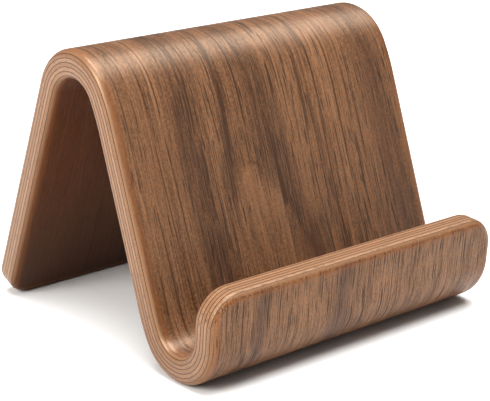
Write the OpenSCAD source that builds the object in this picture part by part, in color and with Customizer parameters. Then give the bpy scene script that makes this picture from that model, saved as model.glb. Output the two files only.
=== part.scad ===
// Phone stand pressed from one strip of walnut plywood.
//
// Seven veneers and the six glue lines between them are bent together: a lip, a tight
// bend that forms the trough, a sloping back rest, a ridge and a rear leg.
//
// Axes: X runs across the strip, the lip faces -Y, Z is up.
// Origin: on the floor, under the middle of the stand.

/* [Strip] */
// Width of the strip, which is the width of the stand
strip_w = 110; // [70:1:200]
// Thickness of one veneer
ply_t = 1.11; // [0.9:0.01:1.3]
// Thickness of one glue line
glue_t = 0.15; // [0.1:0.01:0.2]
// Radius that the edges are rounded to, all the way round the strip
edge_r = 2.37; // [0.6:0.01:2.37]

/* [Lip and trough] */
// Length of the lip, from the end of the bend to its top edge
lip_l = 14.7; // [12:0.05:30]
// Angle that the lip leans forward from upright
lip_lean = 4.56; // [0:0.01:15]
// Radius of the two corners at the top of the lip
lip_corner_r = 9.6; // [4:0.1:11]
// Radius of the bend under the trough, at the middle of the thickness
bend_r = 11.9; // [8:0.05:20]
// Radius of the gentler curve from the bend into the back rest
bend_ease_r = 37; // [20:0.5:80]
// Angle that the gentler curve turns through
bend_ease_turn = 10.73; // [2:0.01:20]

/* [Back rest] */
// Length of the flat part of the back rest
slope_l = 51.4; // [40:0.1:120]
// Angle that the back rest leans back from upright
slope_lean = 19.55; // [12:0.05:30]

/* [Ridge and rear leg] */
// Radius of the gentler curve from the back rest into the ridge
ridge_ease_r = 61; // [20:0.5:90]
// Angle that the gentler curve turns through
ridge_ease_turn = 9.64; // [2:0.01:20]
// Radius of the ridge, at the middle of the thickness
ridge_r = 13.8; // [8:0.05:20]
// Angle that the rear leg leans from upright
leg_lean = 22.56; // [15:0.01:30]
// Radius of the two corners at the foot of the leg
foot_corner_r = 7.5; // [4:0.1:11]

/* [Hidden] */
$fn = 64;

// Layers, counted from the underside of the strip to its show face
ply_count = 7;
board_t = ply_count * ply_t + (ply_count - 1) * glue_t;

// Turns of the two main bends, without the gentler curves beside them
bend_turn = 180 - slope_lean - lip_lean - bend_ease_turn;
ridge_turn = 180 - slope_lean - leg_lean - ridge_ease_turn;

// The middle of the thickness is one path, seen from the side of the stand.
// A place on it is [distance back, height, heading in degrees].
function ahead(at, l) = [at[0] + l * cos(at[2]), at[1] + l * sin(at[2]), at[2]];
function left_centre(at, r) = [at[0] - r * sin(at[2]), at[1] + r * cos(at[2])];
function turned(at, r, turn) =
    let (centre = left_centre(at, r), heading = at[2] + turn)
    [centre[0] + r * sin(heading), centre[1] - r * cos(heading), heading];

lip_top = [0, 0, lip_lean - 90];
bend_start = ahead(lip_top, lip_l);
bend_end = turned(bend_start, bend_r, bend_turn);
slope_start = turned(bend_end, bend_ease_r, bend_ease_turn);
slope_end = ahead(slope_start, slope_l);
ridge_start = turned(slope_end, -ridge_ease_r, -ridge_ease_turn);
ridge_end = turned(ridge_start, -ridge_r, -ridge_turn);

// The floor touches the bend, and the leg is cut to reach the floor with its inner edge
floor_z = left_centre(bend_start, bend_r)[1] - bend_r - board_t / 2;
round_centre = board_t / 2 - edge_r;
leg_l = edge_r
    + (ridge_end[1] - floor_z - edge_r - round_centre * sin(leg_lean)) / cos(leg_lean);
foot_end = ahead(ridge_end, leg_l);

// Furthest forward is the lip's top edge, and furthest back the outer edge of the foot
front_y = edge_r * (sin(lip_lean) - 1) - round_centre * cos(lip_lean);
back_y = foot_end[0] + edge_r * (1 - sin(leg_lean)) + round_centre * cos(leg_lean);

// Sections, with the height above the middle of the board along x

// The board as seen along its edge, from a cut at y = 0 out to its rounded edge
module board_edge(reach) {
    flat_y = reach - edge_r;
    translate([-board_t / 2, 0]) square([board_t, flat_y]);
    translate([-round_centre, flat_y]) square([2 * round_centre, edge_r]);
    for (side = [0, 1])
        mirror([side, 0])
            translate([round_centre, flat_y])
                intersection() {
                    rotate(180) circle(edge_r);
                    square(2 * edge_r);
                }
}

// The part of that edge which one layer fills
module layer_edge(bottom, top, reach) {
    intersection() {
        board_edge(reach);
        translate([bottom, 0]) square([top - bottom, reach]);
    }
}

// One layer from edge to edge
module layer_section(bottom, top) {
    for (side = [0, 1])
        mirror([0, side]) layer_edge(bottom, top, strip_w / 2);
}

// Lengths of one layer. Each starts at x = 0 and runs along x, with y towards the show face.

module straight(l, bottom, top) {
    rotate([90, 0, 90])
        linear_extrude(l) layer_section(bottom, top);
}

// Moves its children to the far end of a bend. A positive bend is towards the show face.
module past_bend(r, turn) {
    translate([0, r, 0]) rotate([0, 0, turn]) translate([0, -r, 0]) children();
}

// A bend towards the show face, or away from it where the radius and turn are negative
module bend(r, turn, bottom, top) {
    if (r < 0) mirror([0, 1, 0]) bend(-r, -turn, -top, -bottom);
    else translate([0, r, 0])
        rotate([0, 0, -90])
            rotate_extrude(angle = turn)
                translate([r, 0]) mirror([1, 0]) layer_section(bottom, top);
}

// An end of the strip with its two rounded corners
module strip_end(corner_r, bottom, top) {
    middle_w = strip_w - 2 * corner_r;
    rotate([-90, 0, 0]) {
        rotate([90, 0, 0])
            linear_extrude(middle_w, center = true)
                rotate(90) mirror([0, 1]) layer_edge(bottom, top, corner_r);
        for (side = [-1, 1])
            translate([0, side * middle_w / 2, 0])
                rotate([0, 0, side > 0 ? 0 : -90])
                    rotate_extrude(angle = 90)
                        rotate(90) mirror([0, 1]) layer_edge(bottom, top, corner_r);
    }
}

// Where each length starts, measured from the top of the lip

module at_bend() {
    translate([lip_l, 0, 0]) children();
}

module at_bend_ease() {
    at_bend() past_bend(bend_r, bend_turn) children();
}

module at_slope() {
    at_bend_ease() past_bend(bend_ease_r, bend_ease_turn) children();
}

module at_ridge_ease() {
    at_slope() translate([slope_l, 0, 0]) children();
}

module at_ridge() {
    at_ridge_ease() past_bend(-ridge_ease_r, -ridge_ease_turn) children();
}

module at_leg() {
    at_ridge() past_bend(-ridge_r, -ridge_turn) children();
}

// Stands the strip up, from its place along the path to its place on the floor
module stood_up() {
    translate([0, -(front_y + back_y) / 2, -floor_z])
        rotate([90, 0, 90])
            rotate([0, 0, lip_top[2]]) children();
}

// Joins its children at a hundredth of their size, so that faces which meet only to
// within rounding become one
module welded() {
    scale(100)
        for (n = [0 : $children - 1])
            scale(1 / 100) children(n);
}

// One layer of the board, from bottom to top of the thickness, pressed to shape
module pressed_layer(bottom, top) {
    leg_straight_l = leg_l - foot_corner_r;
    stood_up() welded() {
        translate([lip_corner_r, 0, 0]) mirror([1, 0, 0]) strip_end(lip_corner_r, bottom, top);
        translate([lip_corner_r, 0, 0]) straight(lip_l - lip_corner_r, bottom, top);
        at_bend() bend(bend_r, bend_turn, bottom, top);
        at_bend_ease() bend(bend_ease_r, bend_ease_turn, bottom, top);
        at_slope() straight(slope_l, bottom, top);
        at_ridge_ease() bend(-ridge_ease_r, -ridge_ease_turn, bottom, top);
        at_ridge() bend(-ridge_r, -ridge_turn, bottom, top);
        at_leg() straight(leg_straight_l, bottom, top);
        at_leg() translate([leg_straight_l, 0, 0]) strip_end(foot_corner_r, bottom, top);
    }
}

// Veneer number n, from 0 at the underside. The outer two stop at the faces of the board.
module veneer(n) {
    bottom = n * (ply_t + glue_t) - board_t / 2;
    pressed_layer(n == 0 ? -board_t : bottom, n == ply_count - 1 ? board_t : bottom + ply_t);
}

// Sub-parts

module back_veneer() {
    color("#8a6248") veneer(0);
}

module face_veneer() {
    color("#80604a") veneer(ply_count - 1);
}

module core_veneer(n) {
    color(n % 2 == 0 ? "#b98f74" : "#c49a7e") veneer(n);
}

module glue_line(n) {
    bottom = n * (ply_t + glue_t) - glue_t - board_t / 2;
    color("#4a2c1c") pressed_layer(bottom, bottom + glue_t);
}

back_veneer();
face_veneer();
for (n = [1 : ply_count - 2])
    core_veneer(n);
for (n = [1 : ply_count - 1])
    glue_line(n);
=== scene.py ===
"""Phone stand pressed from one strip of walnut plywood.

Makes the visible pieces of the stand, and the floor, lights and camera around it.
"""
import math

import bpy
from mathutils import Matrix, Vector


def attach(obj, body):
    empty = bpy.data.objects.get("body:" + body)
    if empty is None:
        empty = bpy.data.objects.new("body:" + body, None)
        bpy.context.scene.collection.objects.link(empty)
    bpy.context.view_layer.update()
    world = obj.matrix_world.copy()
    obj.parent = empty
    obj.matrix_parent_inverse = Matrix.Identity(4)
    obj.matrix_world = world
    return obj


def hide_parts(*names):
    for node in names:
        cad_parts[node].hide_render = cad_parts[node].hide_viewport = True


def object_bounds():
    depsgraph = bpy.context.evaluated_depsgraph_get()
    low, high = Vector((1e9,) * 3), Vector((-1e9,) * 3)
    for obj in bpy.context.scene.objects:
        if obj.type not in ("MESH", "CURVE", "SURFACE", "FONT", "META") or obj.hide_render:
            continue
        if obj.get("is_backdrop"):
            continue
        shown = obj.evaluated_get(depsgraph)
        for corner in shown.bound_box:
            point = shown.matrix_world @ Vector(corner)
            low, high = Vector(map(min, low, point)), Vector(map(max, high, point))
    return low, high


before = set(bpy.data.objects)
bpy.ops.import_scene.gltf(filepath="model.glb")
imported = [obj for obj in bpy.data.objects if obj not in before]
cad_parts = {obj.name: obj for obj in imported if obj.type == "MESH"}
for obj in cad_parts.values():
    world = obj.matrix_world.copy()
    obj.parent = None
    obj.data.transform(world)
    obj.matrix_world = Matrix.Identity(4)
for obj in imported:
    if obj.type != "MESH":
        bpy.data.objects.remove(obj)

bl_info = {
    "name": "Plywood Phone Stand",
    "version": (1, 0, 0),
    "blender": (4, 5, 0),
    "location": "View3D > Sidebar > Phone Stand",
    "description": "Builds a phone stand pressed from seven walnut veneers",
    "category": "Add Mesh",
}

CAD_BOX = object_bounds()
MM = 0.001
PLY_COUNT = 7

# How finely the board is modelled
CORNER_STEPS = 12
EDGE_STEPS = 8
BEND_STEP = math.radians(3.5)
SMOOTH_ANGLE = math.radians(32)
CUT_TOLERANCE = 1e-7
BOX_TOLERANCE = 0.2 * MM
# Faces are divided this many edge radii in from their edges, which keeps the flats flat
FLAT_MARGIN = 1.3

# Name of the attribute that holds each point's place on the flat board
GRAIN = "board_place"

# The figure of the wood, in mm on the flat board: across it from its middle, and along it
# from the top of the lip. A drift is how far a thing moves towards -X for each mm along.

# Show face: where the flame's tip fades out and is full, its middle line's place and drift,
# and how fast its sides close towards the tip
FLAME_TIP = (88.0, 81.0)
FLAME_MIDDLE, FLAME_DRIFT = -4.2, 0.066
FLAME_SPREAD = 0.17
# The dark arch over the flame: its place along, its width, and where it fades out across
CROWN = (93.0, 7.0)
CROWN_SIDES = (16.0, 6.0)
# Distance along at which the broad tones stop ringing the flame
RING_START = 84.0
# Dark bands: place across at the top of the lip, width and drift
LEFT_BAND = (-27.5, 4.2, 0.02)
FAR_BAND = (42.0, 6.0, -0.02)
# The right one: place across where it is RIGHT_BAND_AT along, width and drift, and the
# distance along from which it runs straight
RIGHT_BAND_X, RIGHT_BAND_W, RIGHT_BAND_DRIFT = -4.5, 4.6, 0.18
RIGHT_BAND_AT, RIGHT_BAND_STRAIGHT = 118.0, 148.0
# Sides of the wood between the bands: across at the left, and past the right band
BETWEEN_LEFT = (-33.0, -27.0)
BETWEEN_RIGHT = (-1.0, 4.0)
# Where the wood is plain with few pores, across, and darkens to the trough, along
PLAIN_SIDE = (-32.0, -36.0)
TROUGH_TONE = (80.0, 45.0)
VIOLET_FADE = (125.0, 95.0)
# Lines that run the length of the strip: their places across, and their width
LONG_LINES = (-50.5, -46.5, -41.5, -37.0, 13.5, 20.0, 27.5)
LONG_LINE_W = 0.28

# Underside: the two bands on the front of the lip, the side of it with more pores, where painted
# shade darkens the inside of the rear leg, which also has more pores, and where that painted
# shade deepens towards the foot
OPEN_SIDE = (-14.0, 2.0)
LIP_BANDS = ((-36.5, 3.2, 0.12), (-5.5, 4.0, 0.12))
LEG_SHADE_AND_PORES = (120.0, 150.0)
FOOT_SHADE = (160.0, 225.0)

# Inner veneers: the middle of the bend, where painted shade darkens the cut edge, and its reach
BEND_SHADE = (34.0, 15.0)
# Distances in from the rim of an outer veneer at which its cut edge ends, and at which
# lacquer gathers, with the width of that line
EDGE_END, EDGE_FULL = 1.5, 0.5
RIM_IN, RIM_W = 1.9, 0.8
# Part of a layer's thickness, from its middle, at which soaked-in glue starts and is full
SOAKED = (0.33, 0.44)

# Depths of the pores, in metres
FACE_RELIEF = 0.06 * MM
EDGE_RELIEF = 0.05 * MM
FLOOR_RELIEF = 0.01 * MM

LACQUER_IOR = 1.5
LACQUER_TINT = (1.0, 0.77, 0.56, 1.0)

# The stage. Light and camera places are in metres, and the camera's turns in degrees.
FLOOR_SIZE = 12
KEY_FROM = (0.06, -0.06, 0.97)
FILL_FROM, FILL_AIM, FILL_COLOUR = (-0.85, -0.08, 0.6), (0, 0, 0.03), (1.0, 0.98, 0.95)
RIDGE_FROM, RIDGE_AIM, RIDGE_COLOUR = (0.73, 0.14, 0.94), (0, 0, 0.06), (1.0, 0.93, 0.85)
PANEL_SIZE = 0.6
SURROUND_COLOUR = (1.0, 0.965, 0.93, 1.0)
CAMERA_PLACE = (-0.295352, -0.352951, 0.183726)
CAMERA_AZIMUTH, CAMERA_DIP, CAMERA_ROLL = 40.106, 18.236, 0.104
SENSOR_W = 36


# Settings that a user would change


class StandSizes(bpy.types.PropertyGroup):
    """Sizes of the strip and of the shape that it is pressed to."""

    strip_w: bpy.props.FloatProperty(
        name="Strip width",
        description="Width of the strip, which is the width of the stand",
        default=CAD_BOX[1][0] - CAD_BOX[0][0],
        unit="LENGTH",
    )
    ply_t: bpy.props.FloatProperty(
        name="Veneer", description="Thickness of one veneer", default=1.11 * MM, unit="LENGTH"
    )
    glue_t: bpy.props.FloatProperty(
        name="Glue line",
        description="Thickness of one glue line",
        default=0.15 * MM,
        unit="LENGTH",
    )
    glue_recess: bpy.props.FloatProperty(
        name="Glue recess",
        description="How far the sanded glue lines lie below the edges of the veneers",
        default=0.05 * MM,
        unit="LENGTH",
    )
    edge_r: bpy.props.FloatProperty(
        name="Edge radius",
        description="Radius that the edges are rounded to, all the way round the strip",
        default=2.37 * MM,
        unit="LENGTH",
    )
    lip_l: bpy.props.FloatProperty(
        name="Lip length",
        description="Length of the lip, from the end of the bend to its top edge",
        default=14.7 * MM,
        unit="LENGTH",
    )
    lip_lean: bpy.props.FloatProperty(
        name="Lip lean",
        description="Angle that the lip leans forward from upright",
        default=math.radians(4.56),
        unit="ROTATION",
    )
    lip_corner_r: bpy.props.FloatProperty(
        name="Lip corners",
        description="Radius of the two corners at the top of the lip",
        default=9.6 * MM,
        unit="LENGTH",
    )
    bend_r: bpy.props.FloatProperty(
        name="Bend radius",
        description="Radius of the bend under the trough, at the middle of the thickness",
        default=11.9 * MM,
        unit="LENGTH",
    )
    bend_ease_r: bpy.props.FloatProperty(
        name="Bend easing",
        description="Radius of the gentler curve from the bend into the back rest",
        default=37 * MM,
        unit="LENGTH",
    )
    bend_ease_turn: bpy.props.FloatProperty(
        name="Bend easing turn",
        description="Angle that the gentler curve above the bend turns through",
        default=math.radians(10.73),
        unit="ROTATION",
    )
    slope_l: bpy.props.FloatProperty(
        name="Back rest length",
        description="Length of the flat part of the back rest",
        default=51.4 * MM,
        unit="LENGTH",
    )
    slope_lean: bpy.props.FloatProperty(
        name="Back rest lean",
        description="Angle that the back rest leans back from upright",
        default=math.radians(19.55),
        unit="ROTATION",
    )
    ridge_ease_r: bpy.props.FloatProperty(
        name="Ridge easing",
        description="Radius of the gentler curve from the back rest into the ridge",
        default=61 * MM,
        unit="LENGTH",
    )
    ridge_ease_turn: bpy.props.FloatProperty(
        name="Ridge easing turn",
        description="Angle that the gentler curve below the ridge turns through",
        default=math.radians(9.64),
        unit="ROTATION",
    )
    ridge_r: bpy.props.FloatProperty(
        name="Ridge radius",
        description="Radius of the ridge, at the middle of the thickness",
        default=13.8 * MM,
        unit="LENGTH",
    )
    leg_lean: bpy.props.FloatProperty(
        name="Leg lean",
        description="Angle that the rear leg leans from upright",
        default=math.radians(22.56),
        unit="ROTATION",
    )
    foot_corner_r: bpy.props.FloatProperty(
        name="Foot corners",
        description="Radius of the two corners at the foot of the leg",
        default=7.5 * MM,
        unit="LENGTH",
    )


def tone(name, description, default):
    """A colour setting, in display values."""
    return bpy.props.FloatVectorProperty(
        name=name,
        description=description,
        subtype="COLOR_GAMMA",
        size=3,
        min=0,
        max=1,
        default=default,
    )


class WoodColours(bpy.types.PropertyGroup):
    """Colours of the lacquered walnut."""

    pale: tone("Pale wood", "Plain wood inside the flame figure", (0.55, 0.395, 0.28))
    middle: tone("Middle wood", "Wood between the dark bands", (0.455, 0.315, 0.215))
    dark: tone("Dark wood", "Wood in the dark bands", (0.255, 0.152, 0.09))
    violet: tone("Violet wood", "Greyish heartwood beside the dark bands", (0.32, 0.222, 0.182))
    # The pore colour also serves as painted shade towards the foot of the rear leg
    pore_and_shade: tone("Pores", "Open pores and fine growth lines", (0.175, 0.088, 0.038))
    # Painted shade: the dark colour laid on the inside of the rear leg, which is in shadow
    shade: tone("Shaded wood", "Deep brown on the inside of the rear leg", (0.34, 0.15, 0.01))
    amber: tone("Amber", "Lacquer that has gathered on the rounded edges", (0.47, 0.265, 0.12))
    edge: tone("Cut edge", "Cut edges of the veneers", (0.485, 0.35, 0.25))
    glue: tone("Glue", "Cured glue between the veneers", (0.15, 0.075, 0.045))


class StageSettings(bpy.types.PropertyGroup):
    """The floor, the lights and the camera."""

    floor: tone("Floor", "Colour of the floor", (0.9, 0.9, 0.9))
    surround: bpy.props.FloatProperty(
        name="Surround", description="Strength of the light from all round", default=0.23
    )
    key_strength: bpy.props.FloatProperty(
        name="Key light", description="Strength of the broad light overhead", default=6.1
    )
    key_angle: bpy.props.FloatProperty(
        name="Key size",
        description="How wide the overhead light is, seen from the stand",
        default=math.radians(50),
        unit="ROTATION",
    )
    fill_power: bpy.props.FloatProperty(
        name="Fill light",
        description="Power of the light from the left",
        default=12,
        unit="POWER",
    )
    ridge_power: bpy.props.FloatProperty(
        name="Ridge light",
        description="Power of the light from the right, which gleams along the ridge",
        default=4.0,
        unit="POWER",
    )
    lens: bpy.props.FloatProperty(
        name="Lens", description="Focal length of the camera", default=115.674, unit="CAMERA"
    )


# The path that the strip is pressed to, seen from the side.
# A place on it is (distance back, height, heading).


def walk(place, length, turn):
    """Goes on along a straight or an arc of that length."""
    y, z, heading = place
    if turn == 0:
        return y + length * math.cos(heading), z + length * math.sin(heading), heading
    r = length / turn
    end = heading + turn
    return (
        y - r * math.sin(heading) + r * math.sin(end),
        z + r * math.cos(heading) - r * math.cos(end),
        end,
    )


class Path:
    """Middle line of the strip, from the top of the lip to the foot."""

    def __init__(self, sizes):
        self.board_t = PLY_COUNT * sizes.ply_t + (PLY_COUNT - 1) * sizes.glue_t
        quarter = math.pi / 2
        bend_turn = 2 * quarter - sizes.slope_lean - sizes.lip_lean - sizes.bend_ease_turn
        ridge_turn = 2 * quarter - sizes.slope_lean - sizes.leg_lean - sizes.ridge_ease_turn
        lengths = [
            (sizes.lip_l, 0),
            (sizes.bend_r * bend_turn, bend_turn),
            (sizes.bend_ease_r * sizes.bend_ease_turn, sizes.bend_ease_turn),
            (sizes.slope_l, 0),
            (sizes.ridge_ease_r * sizes.ridge_ease_turn, -sizes.ridge_ease_turn),
            (sizes.ridge_r * ridge_turn, -ridge_turn),
        ]
        place = (0, 0, sizes.lip_lean - quarter)
        self.lengths = []
        start = 0
        for length, turn in lengths:
            self.lengths.append((start, place, length, turn))
            start += length
            place = walk(place, length, turn)
        round_centre = self.board_t / 2 - sizes.edge_r
        bend_centre_z = walk((0, 0, sizes.lip_lean - quarter), sizes.lip_l, 0)[1]
        bend_centre_z += sizes.bend_r * math.cos(sizes.lip_lean - quarter)
        self.floor_z = bend_centre_z - sizes.bend_r - self.board_t / 2
        rise = place[1] - self.floor_z - sizes.edge_r - round_centre * math.sin(sizes.leg_lean)
        leg_l = sizes.edge_r + rise / math.cos(sizes.leg_lean)
        self.lengths.append((start, place, leg_l, 0))
        self.length = start + leg_l
        foot = walk(place, leg_l, 0)
        front = sizes.edge_r * (math.sin(sizes.lip_lean) - 1)
        front -= round_centre * math.cos(sizes.lip_lean)
        back = foot[0] + sizes.edge_r * (1 - math.sin(sizes.leg_lean))
        back += round_centre * math.cos(sizes.leg_lean)
        self.middle_y = (front + back) / 2

    def stood(self, co):
        """Where a point of the flat board, (across, along, up from the middle), ends up."""
        x, along, height = co
        for start, place, length, turn in reversed(self.lengths):
            if along >= start or start == 0:
                part = along - start
                y, z, heading = walk(place, part, turn * part / length)
                break
        return Vector((
            x,
            y - height * math.sin(heading) - self.middle_y,
            z + height * math.cos(heading) - self.floor_z,
        ))

    def cuts(self):
        """Distances along the strip at which its faces are divided so that they can bend."""
        places = []
        for start, _, length, turn in self.lengths:
            steps = max(1, math.ceil(abs(turn) / BEND_STEP))
            places += [start + length * n / steps for n in range(steps)]
        return places[1:]


# The board, modelled flat, and the layers that it is cut into


def deselect_all():
    """Leaves nothing selected, so that an operator works on one piece only."""
    for other in bpy.context.selected_objects:
        other.select_set(False)


def pick_edges(piece, wanted):
    """Selects the edges of a piece that pass a test, in edit mode."""
    bpy.ops.mesh.select_mode(type="EDGE")
    bpy.ops.mesh.select_all(action="DESELECT")
    bpy.ops.object.mode_set(mode="OBJECT")
    mesh = piece.data
    for edge in mesh.edges:
        edge.select = wanted(*(mesh.vertices[v].co for v in edge.vertices))
    bpy.ops.object.mode_set(mode="EDIT")


def cut(plane_co, plane_no, **how):
    """Divides the piece in edit mode along a plane."""
    bpy.ops.mesh.select_all(action="SELECT")
    bpy.ops.mesh.bisect(plane_co=plane_co, plane_no=plane_no, threshold=CUT_TOLERANCE, **how)


def flat_board(sizes, path):
    """The whole board before it is pressed, with its four corners and its edges rounded."""
    deselect_all()
    bpy.ops.mesh.primitive_cube_add(
        size=1,
        location=(0, path.length / 2, 0),
        scale=(sizes.strip_w, path.length, path.board_t),
    )
    board = bpy.context.object
    bpy.ops.object.transform_apply(location=True, rotation=True, scale=True)
    bpy.ops.object.mode_set(mode="EDIT")
    near = path.board_t / 4
    for end, radius in ((0, sizes.lip_corner_r), (path.length, sizes.foot_corner_r)):
        pick_edges(board, lambda a, b: abs(a.z - b.z) > near and abs(a.y - end) < near)
        bpy.ops.mesh.bevel(offset=radius, segments=CORNER_STEPS, clamp_overlap=False)
    pick_edges(board, lambda a, b: abs(a.z - b.z) < near)
    bpy.ops.mesh.bevel(offset=sizes.edge_r, segments=EDGE_STEPS, clamp_overlap=False)
    bpy.ops.object.mode_set(mode="OBJECT")
    return board


def layer_of(board, bottom, top, recess, size):
    """A copy of the board, cut down to one layer of its thickness."""
    deselect_all()
    board.select_set(True)
    bpy.context.view_layer.objects.active = board
    bpy.ops.object.duplicate()
    layer = bpy.context.object
    bpy.ops.object.mode_set(mode="EDIT")
    if bottom is not None:
        cut((0, 0, bottom), (0, 0, 1), use_fill=True, clear_inner=True)
    if top is not None:
        cut((0, 0, top), (0, 0, 1), use_fill=True, clear_outer=True)
    if recess:
        width, length = size
        bpy.ops.mesh.select_all(action="SELECT")
        bpy.ops.transform.resize(
            value=(1 - 2 * recess / width, 1 - 2 * recess / length, 1),
            center_override=(0, length / 2, 0),
        )
    bpy.ops.object.mode_set(mode="OBJECT")
    return layer


def middle_height(piece):
    """Mean height of a flat piece's vertices."""
    heights = [vertex.co.z for vertex in piece.data.vertices]
    return sum(heights) / len(heights)


def pressed_layers(names, spans, recess, sizes):
    """Cuts the layers from a board, divides them along the strip and presses them to shape."""
    path = Path(sizes)
    board = flat_board(sizes, path)
    size = (sizes.strip_w, path.length)
    layers = [layer_of(board, bottom, top, recess, size) for bottom, top in spans]
    bpy.data.objects.remove(board)
    deselect_all()
    for layer in layers:
        layer.select_set(True)
    bpy.context.view_layer.objects.active = layers[0]
    if len(layers) > 1:
        bpy.ops.object.join()
    bpy.ops.object.mode_set(mode="EDIT")
    for along in path.cuts():
        cut((0, along, 0), (0, 1, 0))
    margin = FLAT_MARGIN * sizes.edge_r
    for along in (margin, path.length - margin):
        cut((0, along, 0), (0, 1, 0))
    for across in (margin - sizes.strip_w / 2, sizes.strip_w / 2 - margin):
        cut((across, 0, 0), (1, 0, 0))
    bpy.ops.mesh.select_all(action="SELECT")
    bpy.ops.mesh.separate(type="LOOSE")
    bpy.ops.object.mode_set(mode="OBJECT")
    pieces = sorted(bpy.context.selected_objects, key=middle_height)
    if len(pieces) != len(names):
        raise RuntimeError(f"{len(pieces)} layers came out of the board, not {len(names)}")
    for piece, name in zip(pieces, names):
        press(piece, name, path)
    return pieces


def press(piece, name, path):
    """Bends one flat layer to shape and keeps each point's place on the flat board."""
    piece.name = piece.data.name = name
    mesh = piece.data
    place = mesh.attributes.new(GRAIN, "FLOAT_VECTOR", "POINT")
    for vertex in mesh.vertices:
        place.data[vertex.index].vector = vertex.co
        vertex.co = path.stood(vertex.co)
    deselect_all()
    piece.select_set(True)
    bpy.context.view_layer.objects.active = piece
    bpy.ops.object.shade_smooth_by_angle(angle=SMOOTH_ANGLE)


def layer_spans(sizes, first, last):
    """Bottom and top of the veneers numbered first to last, with None at the board's faces."""
    board_t = PLY_COUNT * sizes.ply_t + (PLY_COUNT - 1) * sizes.glue_t
    pitch = sizes.ply_t + sizes.glue_t
    spans = []
    for n in range(first, last + 1):
        bottom = n * pitch - board_t / 2
        spans.append((
            None if n == 0 else bottom,
            None if n == PLY_COUNT - 1 else bottom + sizes.ply_t,
        ))
    return spans


# Finishes. Each reads the place on the flat board, so the grain follows the bends.


def linear(colour):
    """Display colour as the scene's light values, with alpha."""
    return [c / 12.92 if c <= 0.04045 else ((c + 0.055) / 1.055) ** 2.4 for c in colour] + [1.0]


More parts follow.
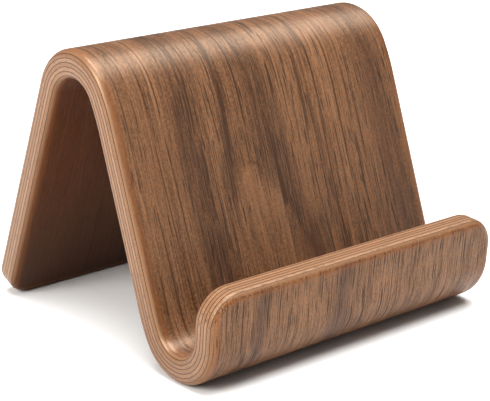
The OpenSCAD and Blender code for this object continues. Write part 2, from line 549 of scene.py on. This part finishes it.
class Finish:
    """Lays out the nodes of one material."""

    def __init__(self, name):
        self.material = bpy.data.materials.new(name)
        self.material.use_nodes = True
        self.tree = self.material.node_tree
        self.tree.nodes.clear()
        self.shader = self.add("ShaderNodeBsdfPrincipled")
        output = self.add("ShaderNodeOutputMaterial")
        self.tree.links.new(self.shader.outputs[0], output.inputs[0])
        place = self.add("ShaderNodeAttribute")
        place.attribute_name = GRAIN
        scale = self.add("ShaderNodeVectorMath")
        scale.operation = "SCALE"
        self.tree.links.new(place.outputs["Vector"], scale.inputs[0])
        scale.inputs["Scale"].default_value = 1 / MM
        split = self.add("ShaderNodeSeparateXYZ")
        self.tree.links.new(scale.outputs[0], split.inputs[0])
        self.across, self.along, self.up = split.outputs

    def add(self, kind):
        """A new node, each one to the right of the last."""
        node = self.tree.nodes.new(kind)
        node.location = (220 * (len(self.tree.nodes) // 6), -260 * (len(self.tree.nodes) % 6))
        return node

    def feed(self, socket, value):
        """Links a socket, or sets it to a plain value."""
        if isinstance(value, bpy.types.NodeSocket):
            self.tree.links.new(value, socket)
        else:
            socket.default_value = value

    def math(self, operation, *values):
        """A Math node."""
        node = self.add("ShaderNodeMath")
        node.operation = operation
        for socket, value in zip(node.inputs, values):
            self.feed(socket, value)
        return node.outputs[0]

    def total(self, *values):
        """The sum of several values."""
        result = values[0]
        for value in values[1:]:
            result = self.math("ADD", result, value)
        return result

    def times(self, *values):
        """The product of several values."""
        result = values[0]
        for value in values[1:]:
            result = self.math("MULTIPLY", result, value)
        return result

    def step(self, value, low, high):
        """Rises smoothly from 0 at low to 1 at high. Low may be the greater."""
        node = self.add("ShaderNodeMapRange")
        node.interpolation_type = "SMOOTHSTEP"
        if low > high:
            low, high, ends = high, low, (1, 0)
        else:
            ends = (0, 1)
        for socket, number in zip(node.inputs, (value, low, high, *ends)):
            self.feed(socket, number)
        return node.outputs[0]

    def rest(self, value):
        """1 less the value."""
        return self.math("SUBTRACT", 1.0, value)

    def hump(self, value, centre, width):
        """A soft band, 1 at the centre."""
        offset = self.math("DIVIDE", self.math("SUBTRACT", value, centre), width)
        return self.math("EXPONENT", self.times(offset, offset, -1.0))

    def band(self, x, centre, width, drift):
        """A soft band along the strip, which drifts across it."""
        return self.hump(self.total(x, self.times(self.along, drift)), centre, width)

    def noise(self, x, y, z, detail=2.0, roughness=0.5):
        """Noise about 0, from roughly -0.5 to 0.5."""
        join = self.add("ShaderNodeCombineXYZ")
        for socket, value in zip(join.inputs, (x, y, z)):
            self.feed(socket, value)
        node = self.add("ShaderNodeTexNoise")
        self.feed(node.inputs["Vector"], join.outputs[0])
        node.inputs["Scale"].default_value = 1.0
        node.inputs["Detail"].default_value = detail
        node.inputs["Roughness"].default_value = roughness
        return self.math("SUBTRACT", node.outputs[0], 0.5)

    def drawn(self, x, across, along, seed, detail=2.0, roughness=0.5):
        """Noise with so many lumps to a mm across the strip and along it."""
        return self.noise(
            self.times(x, across), self.times(self.along, along), seed, detail, roughness
        )

    def mix(self, factor, first, second):
        """A blend of two colours."""
        node = self.add("ShaderNodeMix")
        node.data_type = "RGBA"
        self.feed(node.inputs[0], factor)
        self.feed(node.inputs[6], first)
        self.feed(node.inputs[7], second)
        return node.outputs[2]

    def ramp(self, value, stops):
        """A colour ramp between display colours."""
        node = self.add("ShaderNodeValToRGB")
        elements = node.color_ramp.elements
        while len(elements) < len(stops):
            elements.new(0.5)
        for element, (position, colour) in zip(elements, stops):
            element.position = position
            element.color = linear(colour)
        self.feed(node.inputs[0], value)
        return node.outputs[0]

    def joint(self, sizes):
        """1 where a veneer meets the glue, which has soaked a little way into it."""
        pitch = (sizes.ply_t + sizes.glue_t) / MM
        layer = self.math("FRACT", self.total(self.times(self.up, 1 / pitch), PLY_COUNT / 2 + 1))
        return self.step(self.math("ABSOLUTE", self.total(layer, -0.5)), *SOAKED)

    def relief(self, height, distance):
        """Bump of the given depth in metres."""
        node = self.add("ShaderNodeBump")
        node.inputs["Strength"].default_value = 1.0
        node.inputs["Distance"].default_value = distance
        self.feed(node.inputs["Height"], height)
        self.tree.links.new(node.outputs[0], self.shader.inputs["Normal"])

    def lacquer(self, colour, roughness, gloss):
        """Colour and roughness under a satin lacquer that gives back a warm light."""
        self.feed(self.shader.inputs["Base Color"], colour)
        self.feed(self.shader.inputs["Roughness"], roughness)
        self.shader.inputs["IOR"].default_value = LACQUER_IOR
        self.shader.inputs["Specular IOR Level"].default_value = gloss
        self.shader.inputs["Specular Tint"].default_value = LACQUER_TINT


def cut_edge(finish, sizes, length):
    """1 on the cut edges of a layer and 0 on its face."""
    half = sizes.strip_w / 2 / MM
    out = finish.math("ABSOLUTE", finish.across)
    side = finish.step(out, half - EDGE_END, half - EDGE_FULL)
    lip = finish.step(finish.along, EDGE_END, EDGE_FULL)
    foot = finish.step(finish.along, length - EDGE_END, length - EDGE_FULL)
    return finish.math("MAXIMUM", side, finish.math("MAXIMUM", lip, foot))


def rounding(finish, sizes, length):
    """1 on the rounded edge of an outer veneer, where lacquer gathers."""
    half = sizes.strip_w / 2 / MM
    side = finish.hump(finish.math("ABSOLUTE", finish.across), half - RIM_IN, RIM_W)
    lip = finish.hump(finish.along, RIM_IN, RIM_W)
    foot = finish.hump(finish.along, length - RIM_IN, RIM_W)
    return finish.math("MAXIMUM", side, finish.math("MAXIMUM", lip, foot))


def wood(finish, colours, darkness, violet, pores, seed):
    """Walnut: a tone from pale to dark, with growth lines and pores along the strip."""
    f = finish

    def strokes(width, length, shift, detail, roughness):
        """Noise drawn out along the strip."""
        depth = f.total(f.times(f.up, width), seed + shift)
        return f.drawn(f.across, width, length, depth, detail, roughness)

    streak = strokes(0.95, 0.014, 0.0, 4, 0.68)
    fine = strokes(2.6, 0.05, 1.3, 2, 0.6)
    speck = f.drawn(f.across, 1.9, 1.3, f.times(f.up, 1.9), 1, 0.5)
    darkness = f.total(darkness, f.times(streak, 0.9), f.times(fine, 0.7), f.times(speck, 0.8))
    tones = ((0.0, colours.pale), (0.45, colours.middle), (1.0, colours.dark))
    colour = f.ramp(darkness, tones)
    colour = f.mix(violet, colour, linear(colours.violet))

    # Long thin lines, broken here and there, and short pores between them
    line = f.math("ABSOLUTE", strokes(1.0, 0.006, 2.1, 1, 0.5))
    line = f.step(f.total(line, f.times(pores, -0.02)), 0.045, 0.012)
    broken = f.step(strokes(0.6, 0.09, 5.2, 2, 0.6), -0.1, 0.06)
    dash = strokes(3.2, 0.12, 3.7, 1, 0.5)
    cell = f.step(f.total(dash, f.times(pores, 0.03)), 0.1, 0.16)
    cell = f.math("MAXIMUM", cell, f.times(line, broken))
    colour = f.mix(f.times(cell, 0.95), colour, linear(colours.pore_and_shade))
    return colour, cell, fine


def lacquered_face(finish, colours, sizes, length, wooden, edge_share, gloss):
    """Adds the rounded rim, the cut edge, the lacquer and the open pores to a face."""
    f = finish
    colour, cell, fine = wooden
    colour = f.mix(f.times(rounding(f, sizes, length), 0.4), colour, linear(colours.amber))
    edge = f.times(cut_edge(f, sizes, length), edge_share)
    colour = f.mix(edge, colour, linear(colours.edge))
    f.lacquer(colour, f.total(0.33, f.times(fine, 0.14), f.times(cell, 0.12)), gloss)
    f.relief(f.total(f.times(cell, -0.8), f.times(fine, 0.5)), FACE_RELIEF)
    return f.material


def face_finish(colours, sizes, length):
    """The show face: a flame figure between two dark bands, with long growth lines beside it."""
    f = Finish("face_walnut")
    drift = f.drawn(f.across, 0.02, 0.011, 4.1, 2)
    x = f.total(f.across, f.times(drift, 9.0))

    # The flame, the arch over it and the broad tones that ring it
    middle = f.total(FLAME_MIDDLE, f.times(f.along, -FLAME_DRIFT))
    off = f.math("SUBTRACT", x, middle)
    arch = f.total(f.along, f.times(off, off, FLAME_SPREAD))
    blur = f.drawn(f.across, 0.35, 0.06, 9.3, 3, 0.6)
    flame = f.step(f.total(arch, f.times(blur, 20.0)), *FLAME_TIP)
    crown = f.times(f.hump(arch, *CROWN), f.step(f.math("ABSOLUTE", off), *CROWN_SIDES))
    above = f.math("MAXIMUM", f.math("SUBTRACT", f.along, RING_START), 0.0)
    ring = f.math("SQRT", f.total(f.times(off, off), f.times(above, 4.0)))
    slant = f.total(f.times(x, 0.07), f.times(f.along, 0.008))
    broad = f.noise(f.times(ring, 0.2), slant, 2.2, 3, 0.6)

    # The dark bands on either side of it, and the wood between them
    left = f.band(x, *LEFT_BAND)
    below = f.math("SUBTRACT", RIGHT_BAND_AT, f.along)
    below = f.math("MAXIMUM", below, RIGHT_BAND_AT - RIGHT_BAND_STRAIGHT)
    right_x = f.total(f.times(below, RIGHT_BAND_DRIFT), RIGHT_BAND_X)
    past_right = f.math("SUBTRACT", x, right_x)
    right = f.hump(past_right, 0.0, RIGHT_BAND_W)
    bands = f.math("MINIMUM", f.total(left, right, f.times(crown, 0.4)), 1.0)
    inside = f.times(f.step(x, *BETWEEN_LEFT), f.rest(f.step(past_right, *BETWEEN_RIGHT)))
    between = f.times(inside, f.rest(flame))
    far = f.band(x, *FAR_BAND)

    trough = f.step(f.along, *TROUGH_TONE)
    darkness = f.total(
        0.6,
        f.times(broad, 0.85),
        f.times(bands, 0.12),
        f.times(between, 0.08),
        f.times(far, 0.12),
        f.times(flame, -0.09),
        f.times(trough, 0.16),
    )
    patchy = f.times(f.step(blur, -0.25, 0.2), bands)
    violet = f.total(f.times(patchy, 0.38), f.times(far, 0.25))
    violet = f.times(violet, f.step(f.along, *VIOLET_FADE))
    plain = f.step(x, *PLAIN_SIDE)
    pores = f.total(
        f.times(bands, 0.75), f.times(between, 0.6), f.times(flame, -1.2), f.times(plain, -0.9)
    )
    colour, cell, fine = wood(f, colours, darkness, violet, pores, 0.0)

    line = f.total(*(f.hump(x, place, LONG_LINE_W) for place in LONG_LINES))
    broken = f.step(f.drawn(x, 0.9, 0.07, 1.3, 2, 0.6), -0.14, -0.02)
    colour = f.mix(f.times(line, broken, 0.85), colour, linear(colours.pore_and_shade))
    return lacquered_face(f, colours, sizes, length, (colour, cell, fine), 0.8, 0.75)


def back_finish(colours, sizes, length):
    """The underside, which shows on the front of the lip: bold strokes and two greyish bands."""
    f = Finish("back_walnut")
    drift = f.drawn(f.across, 0.025, 0.012, 31.0, 2)
    x = f.total(f.across, f.times(drift, 8.0))
    broad = f.drawn(x, 0.16, 0.01, 33.0, 3, 0.6)
    bands = f.math("MINIMUM", f.total(*(f.band(x, *band) for band in LIP_BANDS)), 1.0)
    # Painted shade: leg marks the inside of the rear leg, which is darkened and mixed to the
    # shaded colour; it also gives the leg more pores
    leg = f.step(f.along, *LEG_SHADE_AND_PORES)
    # Painted shade mask: the inside of the rear leg darker towards its foot
    foot = f.step(f.along, *FOOT_SHADE)
    darkness = f.total(0.46, f.times(broad, 0.9), f.times(bands, 0.17), f.times(leg, 0.45))
    open_side = f.step(x, *OPEN_SIDE)
    pores = f.total(f.times(bands, 0.2), f.times(open_side, 0.2), f.times(leg, 0.8), -0.1)
    colour, cell, fine = wood(f, colours, darkness, f.times(bands, 0.55), pores, 40.0)

    slant = f.total(f.times(x, 2.5), f.times(f.along, 0.16))
    stroke = f.step(f.noise(slant, f.times(f.along, 0.09), 35.0, 1, 0.5), 0.11, 0.19)
    colour = f.mix(f.times(stroke, 0.55), colour, linear(colours.pore_and_shade))
    colour = f.mix(f.times(leg, 0.6), colour, linear(colours.shade))
    # Painted shade: towards the foot the inside of the rear leg is mixed further to the pore
    # colour
    colour = f.mix(f.times(foot, 0.75), colour, linear(colours.pore_and_shade))
    return lacquered_face(f, colours, sizes, length, (colour, cell, fine), 0.7, 0.25)


def core_finish(colours, sizes, number):
    """Cut edge of an inner veneer. The grain of every other one runs across the strip."""
    f = Finish(f"core_walnut_{number}")
    seed = 10.0 * number
    runs_across = number % 2
    if runs_across:
        run, cross = f.across, f.along
    else:
        run, cross = f.along, f.across
    long_depth = f.total(f.times(f.up, 4.5), seed)
    long = f.noise(f.times(run, 0.07), f.times(cross, 1.9), long_depth, 3, 0.6)
    dot_depth = f.total(f.times(f.up, 3.2), seed)
    dots = f.noise(f.times(run, 0.5), f.times(cross, 3.2), dot_depth, 1.5, 0.5)
    shade = f.drawn(f.across, 0.04, 0.04, seed, 2)
    # Painted shade: the cut edges are darker round the bend, which faces down and away from the
    # lights
    bend = f.hump(f.along, *BEND_SHADE)
    darkness = f.total(
        0.22 + 0.42 * runs_across, f.times(long, 1.7), f.times(shade, 0.8), f.times(bend, 0.9)
    )
    pale = [1.12 * c for c in colours.edge]
    colour = f.ramp(darkness, ((0.0, pale), (0.45, colours.edge), (1.0, colours.middle)))
    cell = f.step(dots, 0.07, 0.15)
    colour = f.mix(f.times(f.joint(sizes), 0.9), colour, linear(colours.dark))
    colour = f.mix(f.times(cell, 0.6), colour, linear(colours.dark))
    f.lacquer(colour, f.total(0.4, f.times(long, 0.2)), 0.6)
    f.relief(f.total(f.times(cell, -0.8), f.times(long, 0.6)), EDGE_RELIEF)
    return f.material


def glue_finish(colours):
    """Cured glue, paler in patches where wood dust has stuck to it."""
    f = Finish("glue")
    patch = f.noise(f.times(f.across, 0.3), f.times(f.along, 0.3), f.up, 3, 0.6)
    dusty = [(a + b) / 2 for a, b in zip(colours.glue, colours.middle)]
    colour = f.ramp(f.total(0.5, patch), ((0.2, colours.glue), (0.8, dusty)))
    f.lacquer(colour, f.total(0.45, f.times(patch, 0.2)), 0.5)
    return f.material


def dress(piece, material, node):
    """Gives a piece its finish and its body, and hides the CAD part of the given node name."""
    piece.data.materials.clear()
    piece.data.materials.append(material)
    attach(piece, "root")
    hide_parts(node)


# Operators


class PhoneStandOuterVeneers(bpy.types.Operator):
    """Press the show face and the underside of the strip"""

    bl_idname = "phone_stand.outer_veneers"
    bl_label = "Outer veneers"

    def execute(self, context):
        sizes = context.scene.stand_sizes
        colours = context.scene.stand_colours
        spans = layer_spans(sizes, 0, PLY_COUNT - 1)
        outer = [spans[0], spans[-1]]
        back, face = pressed_layers(["underside_veneer", "show_veneer"], outer, 0, sizes)
        length = Path(sizes).length / MM
        dress(back, back_finish(colours, sizes, length), "back_veneer")
        dress(face, face_finish(colours, sizes, length), "face_veneer")
        return {"FINISHED"}


class PhoneStandCoreVeneers(bpy.types.Operator):
    """Press the five inner veneers of the strip"""

    bl_idname = "phone_stand.core_veneers"
    bl_label = "Core veneers"

    def execute(self, context):
        sizes = context.scene.stand_sizes
        colours = context.scene.stand_colours
        numbers = range(1, PLY_COUNT - 1)
        names = [f"inner_veneer_{n}" for n in numbers]
        pieces = pressed_layers(names, layer_spans(sizes, 1, PLY_COUNT - 2), 0, sizes)
        for n, piece in zip(numbers, pieces):
            dress(piece, core_finish(colours, sizes, n), f"core_veneer_{n}")
        return {"FINISHED"}


class PhoneStandGlueLines(bpy.types.Operator):
    """Lay the six glue lines between the veneers"""

    bl_idname = "phone_stand.glue_lines"
    bl_label = "Glue lines"

    def execute(self, context):
        sizes = context.scene.stand_sizes
        numbers = range(1, PLY_COUNT)
        tops = [bottom for bottom, _ in layer_spans(sizes, 1, PLY_COUNT - 1)]
        spans = [(top - sizes.glue_t, top) for top in tops]
        names = [f"glue_film_{n}" for n in numbers]
        material = glue_finish(context.scene.stand_colours)
        pieces = pressed_layers(names, spans, sizes.glue_recess, sizes)
        for n, piece in zip(numbers, pieces):
            dress(piece, material, f"glue_line_{n}")
        return {"FINISHED"}


def overhead_light(name, towards, strength, angle):
    """A broad even light from one direction."""
    lamp = bpy.data.lights.new(name, "SUN")
    lamp.energy = strength
    lamp.angle = angle
    light = bpy.data.objects.new(name, lamp)
    bpy.context.scene.collection.objects.link(light)
    light.rotation_euler = Vector(towards).to_track_quat("Z", "Y").to_euler()


def panel_light(name, place, aim, power, colour):
    """A soft square light that faces a point."""
    lamp = bpy.data.lights.new(name, "AREA")
    lamp.shape = "SQUARE"
    lamp.size = PANEL_SIZE
    lamp.energy = power
    lamp.color = colour
    light = bpy.data.objects.new(name, lamp)
    bpy.context.scene.collection.objects.link(light)
    light.location = place
    light.rotation_euler = (Vector(aim) - Vector(place)).to_track_quat("-Z", "Y").to_euler()


def floor_finish(colour):
    """Matt pale paper with the faintest mottle."""
    material = bpy.data.materials.new("pale_floor")
    material.use_nodes = True
    nodes, links = material.node_tree.nodes, material.node_tree.links
    shader = nodes["Principled BSDF"]
    shader.inputs["Roughness"].default_value = 0.9
    shader.inputs["Base Color"].default_value = linear(colour)
    place = nodes.new("ShaderNodeTexCoord")
    mottle = nodes.new("ShaderNodeTexNoise")
    mottle.inputs["Scale"].default_value = 60
    bump = nodes.new("ShaderNodeBump")
    bump.inputs["Distance"].default_value = FLOOR_RELIEF
    links.new(place.outputs["Object"], mottle.inputs["Vector"])
    links.new(mottle.outputs[0], bump.inputs["Height"])
    links.new(bump.outputs[0], shader.inputs["Normal"])
    return material


class PhoneStandStage(bpy.types.Operator):
    """Add the pale floor, the soft lights and the camera"""

    bl_idname = "phone_stand.stage"
    bl_label = "Stage"

    def execute(self, context):
        settings = context.scene.stand_stage
        deselect_all()
        bpy.ops.mesh.primitive_plane_add(size=FLOOR_SIZE, location=(0, 0, 0))
        floor = context.object
        floor.name = floor.data.name = "floor"
        floor.data.materials.append(floor_finish(settings.floor))
        floor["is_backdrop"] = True
        overhead_light("key_light", KEY_FROM, settings.key_strength, settings.key_angle)
        panel_light("fill_light", FILL_FROM, FILL_AIM, settings.fill_power, FILL_COLOUR)
        panel_light("ridge_light", RIDGE_FROM, RIDGE_AIM, settings.ridge_power, RIDGE_COLOUR)
        world = bpy.data.worlds.new("surround")
        world.use_nodes = True
        background = world.node_tree.nodes["Background"]
        background.inputs["Color"].default_value = SURROUND_COLOUR
        background.inputs["Strength"].default_value = settings.surround
        context.scene.world = world
        context.scene.view_settings.view_transform = "Standard"
        self.add_camera(context.scene, settings.lens)
        return {"FINISHED"}

    def add_camera(self, scene, lens):
        """The camera, at the height of a person looking down at a desk."""
        azimuth = math.radians(CAMERA_AZIMUTH)
        dip = math.radians(CAMERA_DIP)
        roll = math.radians(CAMERA_ROLL)
        forward = Vector((
            math.sin(azimuth) * math.cos(dip),
            math.cos(azimuth) * math.cos(dip),
            -math.sin(dip),
        ))
        level = forward.cross(Vector((0, 0, 1))).normalized()
        upright = level.cross(forward)
        right = level * math.cos(roll) + upright * math.sin(roll)
        up = right.cross(forward)
        data = bpy.data.cameras.new("camera")
        data.lens = lens
        data.sensor_width = SENSOR_W
        data.clip_start, data.clip_end = 0.01, 20
        camera = bpy.data.objects.new("camera", data)
        scene.collection.objects.link(camera)
        turn = Matrix((right, up, -forward)).transposed().to_4x4()
        camera.matrix_world = Matrix.Translation(CAMERA_PLACE) @ turn
        scene.camera = camera


class PhoneStandPanel(bpy.types.Panel):
    """Lists the steps that build the stand"""

    bl_idname = "VIEW3D_PT_phone_stand"
    bl_label = "Phone Stand"
    bl_space_type = "VIEW_3D"
    bl_region_type = "UI"
    bl_category = "Phone Stand"

    def draw(self, context):
        for group in SETTINGS:
            settings = getattr(context.scene, group)
            box = self.layout.box()
            for name in settings.bl_rna.properties.keys():
                if name not in ("rna_type", "name"):
                    box.prop(settings, name)
        for step in STEPS:
            self.layout.operator(step.bl_idname)


STEPS = (PhoneStandOuterVeneers, PhoneStandCoreVeneers, PhoneStandGlueLines, PhoneStandStage)
SETTINGS = {"stand_sizes": StandSizes, "stand_colours": WoodColours, "stand_stage": StageSettings}


def register():
    """Adds the classes and puts the settings on the scene."""
    for cls in (*SETTINGS.values(), *STEPS, PhoneStandPanel):
        bpy.utils.register_class(cls)
    for name, cls in SETTINGS.items():
        setattr(bpy.types.Scene, name, bpy.props.PointerProperty(type=cls))


def unregister():
    """Takes the settings and the classes away again."""
    for name in SETTINGS:
        delattr(bpy.types.Scene, name)
    for cls in reversed((*SETTINGS.values(), *STEPS, PhoneStandPanel)):
        bpy.utils.unregister_class(cls)


def main():
    """Builds the stand and its stage."""
    register()
    bpy.ops.phone_stand.outer_veneers()
    bpy.ops.phone_stand.core_veneers()
    bpy.ops.phone_stand.glue_lines()
    bpy.ops.phone_stand.stage()
    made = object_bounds()
    for corner, wanted in zip(made, CAD_BOX):
        if max(abs(a - b) for a, b in zip(corner, wanted)) > BOX_TOLERANCE:
            raise RuntimeError(f"the pressed strip has the box {made}, not {CAD_BOX}")


if __name__ == "__main__":
    main()
